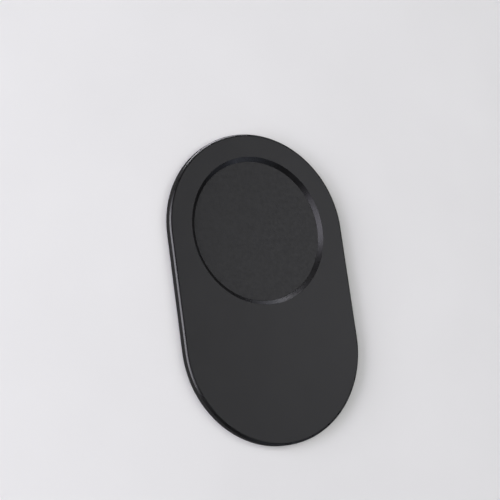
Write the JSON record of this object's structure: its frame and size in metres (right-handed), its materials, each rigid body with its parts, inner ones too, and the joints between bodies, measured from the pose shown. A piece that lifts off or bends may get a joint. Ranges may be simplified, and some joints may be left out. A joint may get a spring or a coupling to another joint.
{
  "type": "magnetic phone grip mount",
  "caption": "Thin pill-shaped magnetic plate for the back of a phone, with a flat round dock disc in a flared recess at one end.",
  "frame": {"origin": "centre of the back pad's foot, under the middle of the plate's outline", "axes": "+X across the plate, +Y along it towards the dock, +Z out of its face"},
  "size_m": [0.059, 0.093, 0.003],
  "materials": {
    "housing_plastic": "fine matte moulded black",
    "disc_coating": "fine matte black powder coat on steel",
    "cover_plastic": "plain moulded black",
    "pad_silicone": "soft black silicone",
    "tape_film": "translucent double-sided tape",
    "magnet_plating": "bright nickel plating",
    "yoke_steel": "zinc-plated steel sheet"
  },
  "bodies": {
    "root": {"front_housing": "housing_plastic", "dock_disc": "disc_coating", "back_cover": "cover_plastic", "back_pad": "pad_silicone", "disc_tape": "tape_film", "ring_yoke": "yoke_steel", "alignment_yoke": "yoke_steel", "alignment_magnet_upper": "magnet_plating", "alignment_magnet_lower": "magnet_plating", "ring_magnet_01": "magnet_plating", "ring_magnet_02": "magnet_plating", "ring_magnet_03": "magnet_plating", "ring_magnet_04": "magnet_plating", "ring_magnet_05": "magnet_plating", "ring_magnet_06": "magnet_plating", "ring_magnet_07": "magnet_plating", "ring_magnet_08": "magnet_plating", "ring_magnet_09": "magnet_plating", "ring_magnet_10": "magnet_plating", "ring_magnet_11": "magnet_plating", "ring_magnet_12": "magnet_plating", "ring_magnet_13": "magnet_plating", "ring_magnet_14": "magnet_plating", "ring_magnet_15": "magnet_plating", "ring_magnet_16": "magnet_plating", "ring_magnet_17": "magnet_plating", "ring_magnet_18": "magnet_plating"}
  },
  "joints": []
}
